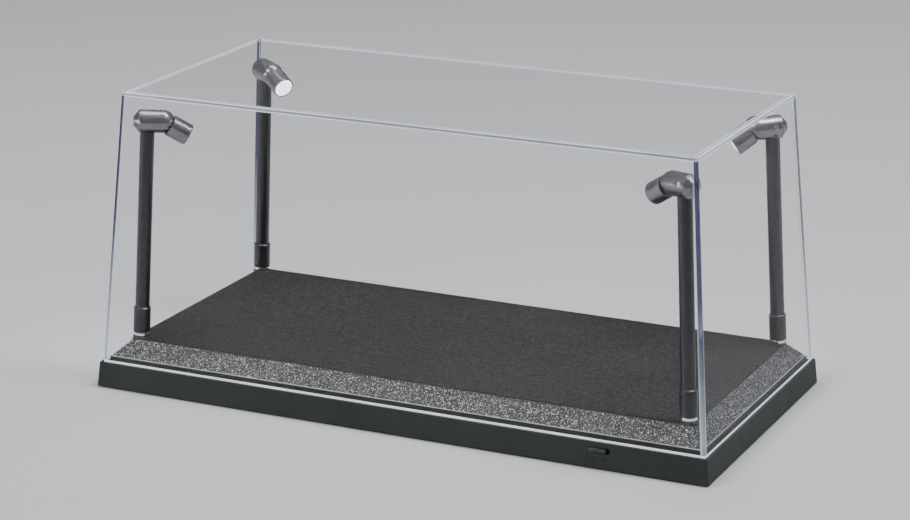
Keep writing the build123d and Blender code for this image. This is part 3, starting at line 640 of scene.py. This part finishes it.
def lay_border():
    """The four speckled strips, stones pressed in relief, in the places of the CAD's plain strips."""
    deck_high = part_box("asphalt_mat")[1]
    top_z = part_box("border_strip_front")[1].z
    inner_half = Vector((deck_high.x + STRIP_GAP, deck_high.y + STRIP_GAP, 0))

    def height(point):
        stones, tone, joint = stone_height(point)
        relief = max(0.0, min(1.0, (top_z - point.z) / GRAVEL_FADE))
        return GRAVEL_DEPTH * relief * (1.0 - stones), tone, joint * relief

    for side in SIDES:
        corners, normal = strip_corners(side, inner_half)
        rows = grid_points(corners, GRAVEL_CELL)
        piece = sheet_mesh(f"gravel_border_{side}", rows, normal, STRIP_THICK, height)
        piece.data.materials.append(MATERIALS["gravel"])
        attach(piece, "base")
        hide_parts(f"border_strip_{side}")


def lay_mat():
    """The mat with its fine asphalt relief, cut out round the four lamp sockets."""
    low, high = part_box("asphalt_mat")
    flanges = []
    for name in LAMPS:
        ring_low, ring_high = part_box(f"{name}_ring")
        middle = (ring_low + ring_high) / 2
        flanges.append(Vector((middle.x, middle.y, high.z)))
    corners = [
        Vector((low.x, low.y, high.z)),
        Vector((high.x, low.y, high.z)),
        Vector((high.x, high.y, high.z)),
        Vector((low.x, high.y, high.z)),
    ]

    def height(point):
        grain = noise.fractal(point / MAT_GRAIN, 1.0, 2.1, 3)
        hollow = 0.5 - 0.5 * max(-1.0, min(1.0, grain))
        slow = noise.noise(point / MAT_SWELL)
        depth = MAT_DEPTH * hollow * (1.0 - MAT_SWELL_SHARE + MAT_SWELL_SHARE * slow)
        return depth + MAT_SINK, 0.0, 0.0

    def hole(point):
        return any((point - middle).length < SOCKET_HOLE for middle in flanges)

    rows = grid_points(corners, MAT_CELL)
    piece = sheet_mesh("asphalt_deck", rows, Vector((0, 0, 1)), MAT_THICK, height, hole)
    piece.data.materials.append(MATERIALS["asphalt"])
    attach(piece, "base")
    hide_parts("asphalt_mat")


# ---- studio ----


def pale_surface():
    """The floor: plain pale grey, with the faintest changes of tone."""
    n = Nodes("studio_pale")
    cloud = n.noise(FLOOR_CLOUD, detail=2.0)
    darker = tuple(0.985 * c for c in FLOOR_COLOUR)
    n.join(n.mix(cloud, darker, FLOOR_COLOUR), n.shader.inputs["Base Color"])
    n.fix(Roughness=FLOOR_ROUGHNESS, Specular_IOR_Level=0.3)
    return n.material


def lay_floor():
    """A plain pale floor, much larger than the view."""
    mesh = bpy.data.meshes.new("studio_floor")
    turns = ((-1, -1), (1, -1), (1, 1), (-1, 1))
    mesh.from_pydata([(x * FLOOR_HALF, y * FLOOR_HALF, 0) for x, y in turns], [], [(0, 1, 2, 3)])
    floor = bpy.data.objects.new("studio_floor", mesh)
    bpy.context.scene.collection.objects.link(floor)
    mesh.materials.append(pale_surface())


def area_light(name, place, size, power, colour):
    """A flat rectangular light aimed at the studio's centre."""
    light = bpy.data.lights.new(name, "AREA")
    light.shape = "RECTANGLE"
    light.size, light.size_y = size
    light.energy = power
    light.color = colour
    lamp = bpy.data.objects.new(name, light)
    lamp.location = place
    lamp.rotation_euler = (Vector(STUDIO_CENTRE) - Vector(place)).to_track_quat("-Z", "Y").to_euler()
    bpy.context.scene.collection.objects.link(lamp)


def light_studio():
    """Soft light from all round, with three large softboxes and two low strips."""
    world = bpy.data.worlds.new("studio_world")
    world.use_nodes = True
    background = world.node_tree.nodes["Background"]
    background.inputs["Color"].default_value = WORLD_COLOUR
    background.inputs["Strength"].default_value = WORLD_STRENGTH
    bpy.context.scene.world = world
    for light in STUDIO_LIGHTS:
        area_light(*light)


def place_camera():
    """The camera, without depth of field or shift."""
    azimuth, elevation = radians(CAMERA_AZIMUTH), radians(CAMERA_ELEVATION)
    back = Vector((sin(azimuth) * cos(elevation), -cos(azimuth) * cos(elevation), sin(elevation)))
    right = Vector((cos(azimuth), sin(azimuth), 0))
    up = back.cross(right)
    data = bpy.data.cameras.new("camera")
    data.lens = LENS_MM
    data.sensor_width = SENSOR_MM
    camera = bpy.data.objects.new("camera", data)
    camera.rotation_euler = Matrix((right, up, back)).transposed().to_euler()
    camera.location = CAMERA_AIM + back * CAMERA_DISTANCE + right * CAMERA_ACROSS + up * CAMERA_RAISE
    bpy.context.scene.collection.objects.link(camera)
    bpy.context.scene.camera = camera


dress_cad_nodes()
lay_border()
lay_mat()
lay_floor()
light_studio()
place_camera()
